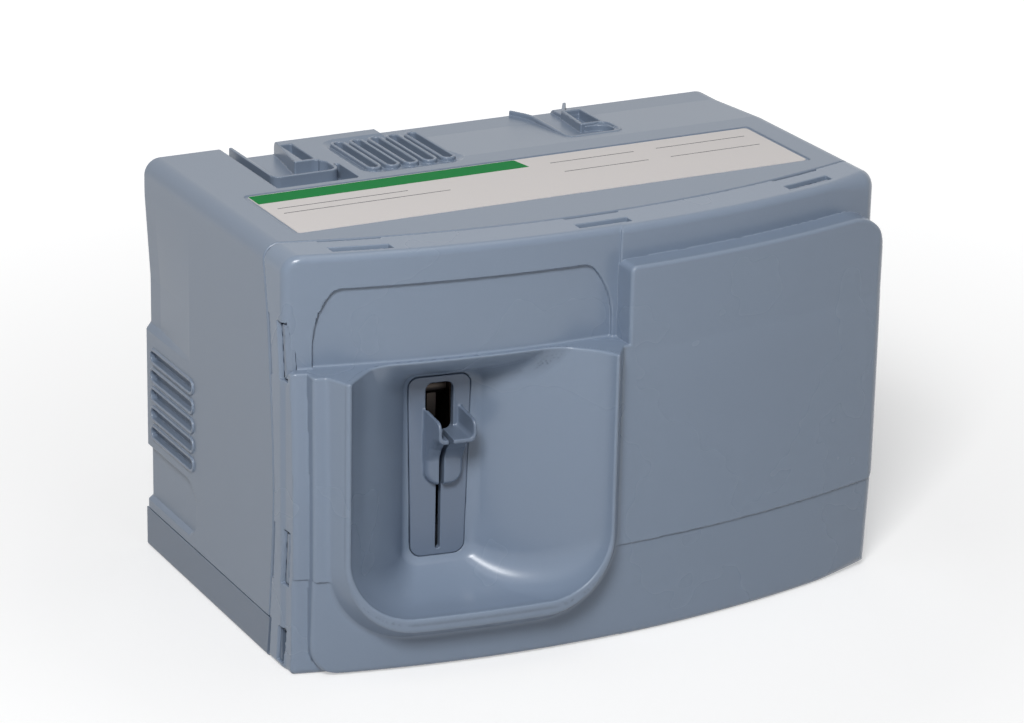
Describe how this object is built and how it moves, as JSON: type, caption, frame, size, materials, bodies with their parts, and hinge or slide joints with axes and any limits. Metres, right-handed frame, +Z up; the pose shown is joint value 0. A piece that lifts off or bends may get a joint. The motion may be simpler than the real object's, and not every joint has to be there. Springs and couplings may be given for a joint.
{
  "type": "blood gas analyzer cartridge",
  "caption": "Plug-in sensor and reagent cartridge of a blood gas analyzer: moulded box with a bowed front, scooped sampling bay, needle guard, guide channels and top label.",
  "frame": {"origin": "on the standing surface below the middle of the whole box", "axes": "+Z up, the bowed front with the scoop looks towards -Y, +X to the right as seen from the front"},
  "size_m": [0.3, 0.2, 0.193],
  "materials": {
    "housing_plastic": "satin moulded",
    "cover_plastic": "satin moulded",
    "bracket_brass": "dull",
    "arm_brass": "satin",
    "steel": "ground",
    "inner_plastic": "matte",
    "tube_rubber": "soft",
    "rotor_plastic": "matte",
    "drive_plastic": "matte",
    "roller_plastic": "polished",
    "card_plastic": "matte",
    "clear_plastic": "clear",
    "aluminium": "milled",
    "glass": "polished",
    "board": "coated",
    "gold": "plated",
    "pouch_film": "film",
    "waste_film": "film",
    "spout_plastic": "matte",
    "label_paper": "matt print stock"
  },
  "bodies": {
    "cartridge": {"bottom_tray": "housing_plastic", "card_lid": "clear_plastic", "chassis": "inner_plastic", "contact_board": "board", "contact_pads": "gold", "divider_wall": "inner_plastic", "front_cover": "cover_plastic", "heater_plate": "aluminium", "label": "label_paper", "manifold": "clear_plastic", "needle_park": "inner_plastic", "optical_cell": "inner_plastic", "optical_glass": "glass", "pivot_pin": "steel", "pouch_rack": "inner_plastic", "pump_race": "inner_plastic", "pump_tube": "tube_rubber", "reagent_pouch_1": "pouch_film", "reagent_pouch_2": "pouch_film", "reagent_pouch_3": "pouch_film", "reagent_pouch_4": "pouch_film", "reagent_spout_1": "spout_plastic", "reagent_spout_2": "spout_plastic", "reagent_spout_3": "spout_plastic", "reagent_spout_4": "spout_plastic", "rear_housing": "housing_plastic", "sampler_bracket": "bracket_brass", "sampler_plate": "cover_plastic", "sensor_card": "card_plastic", "valve_body": "inner_plastic", "waste_pouch": "waste_film", "waste_spout": "spout_plastic"},
    "needle_arm": {"sampler_arm": "arm_brass", "sampling_needle": "steel"},
    "pump": {"pump_rotor": "rotor_plastic", "pump_drive_dog": "drive_plastic"},
    "valve": {"valve_rotor": "rotor_plastic", "valve_drive_dog": "drive_plastic"},
    "roller_1": {"pump_roller_1": "roller_plastic"},
    "roller_2": {"pump_roller_2": "roller_plastic"},
    "roller_3": {"pump_roller_3": "roller_plastic"}
  },
  "joints": [
    {"name": "needle_swing", "type": "hinge", "parent": "cartridge", "child": "needle_arm", "pos_m": [-0.07029, -0.03787, 0.117], "axis": [-0.9912, 0.1323, 0], "range_deg": [0, 58]},
    {"name": "pump_spin", "type": "hinge", "parent": "cartridge", "child": "pump", "pos_m": [-0.102, 0.043, 0.064], "axis": [0, 1, 0], "continuous": true},
    {"name": "valve_index", "type": "hinge", "parent": "cartridge", "child": "valve", "pos_m": [-0.034, 0.043, 0.064], "axis": [0, 1, 0], "continuous": true},
    {"name": "roller_1_spin", "type": "hinge", "parent": "pump", "child": "roller_1", "pos_m": [-0.102, 0.043, 0.082], "axis": [0, 1, 0], "continuous": true},
    {"name": "roller_2_spin", "type": "hinge", "parent": "pump", "child": "roller_2", "pos_m": [-0.11759, 0.043, 0.055], "axis": [0, 1, 0], "continuous": true},
    {"name": "roller_3_spin", "type": "hinge", "parent": "pump", "child": "roller_3", "pos_m": [-0.08641, 0.043, 0.055], "axis": [0, 1, 0], "continuous": true}
  ],
  "couplings": [
    {"joint": "roller_1_spin", "follows": "pump_spin", "ratio": -4},
    {"joint": "roller_2_spin", "follows": "pump_spin", "ratio": -4},
    {"joint": "roller_3_spin", "follows": "pump_spin", "ratio": -4}
  ]
}
